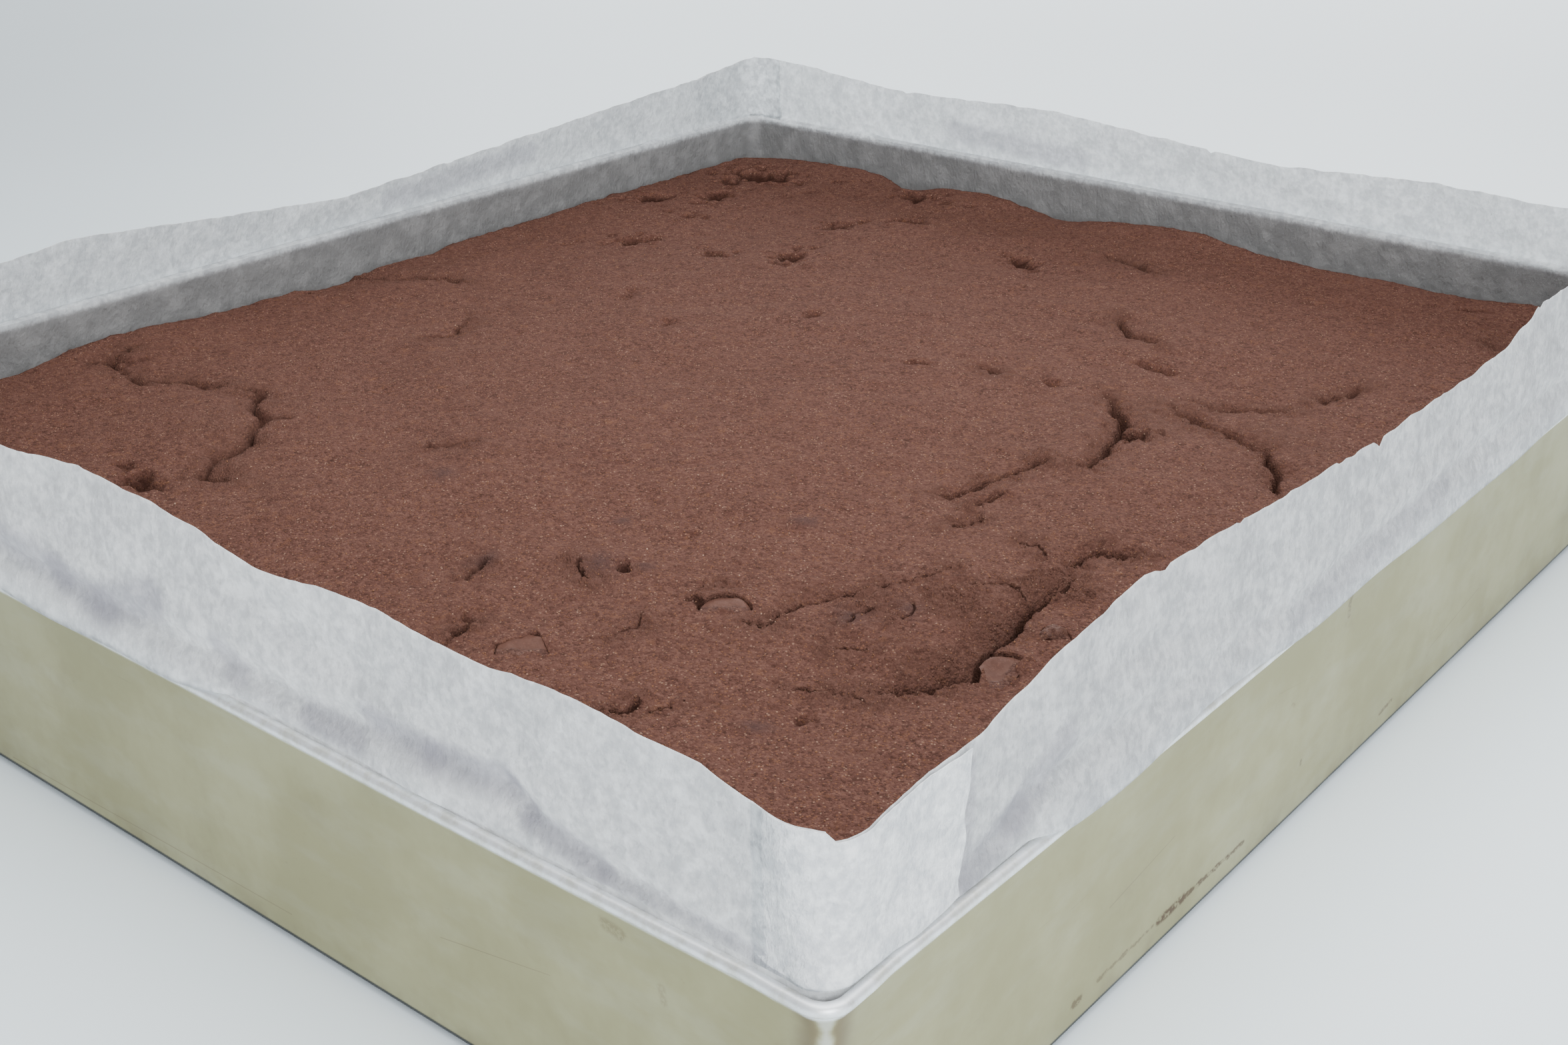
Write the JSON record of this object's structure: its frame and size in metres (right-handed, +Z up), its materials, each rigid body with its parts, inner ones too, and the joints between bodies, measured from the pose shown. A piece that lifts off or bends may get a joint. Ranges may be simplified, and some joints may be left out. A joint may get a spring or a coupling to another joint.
{
  "type": "mud cake in its baking tin",
  "caption": "Uncut chocolate mud cake with a cracked top, in an oblong metal baking tin lined with standing white parchment.",
  "frame": {"origin": "on the table under the middle of the tin, at the bottom centre of the whole object", "axes": "+Z up; +X across the tin's short way; +Y along the tin's long way"},
  "size_m": [0.3514, 0.4014, 0.0817],
  "materials": {
    "tin_sheet": "worn satin tinplate with faint oil and scorch stains",
    "parchment": "matte, slightly translucent, softly creased",
    "chocolate_crumb": "matte baked chocolate crumb, fine-grained",
    "chocolate": "satin bloomed chocolate"
  },
  "bodies": {
    "root": {"tin": "tin_sheet", "lining": "parchment", "cake": "chocolate_crumb", "chocolate_chip_1": "chocolate", "chocolate_chip_2": "chocolate", "chocolate_chip_3": "chocolate", "chocolate_chip_4": "chocolate"}
  },
  "joints": []
}
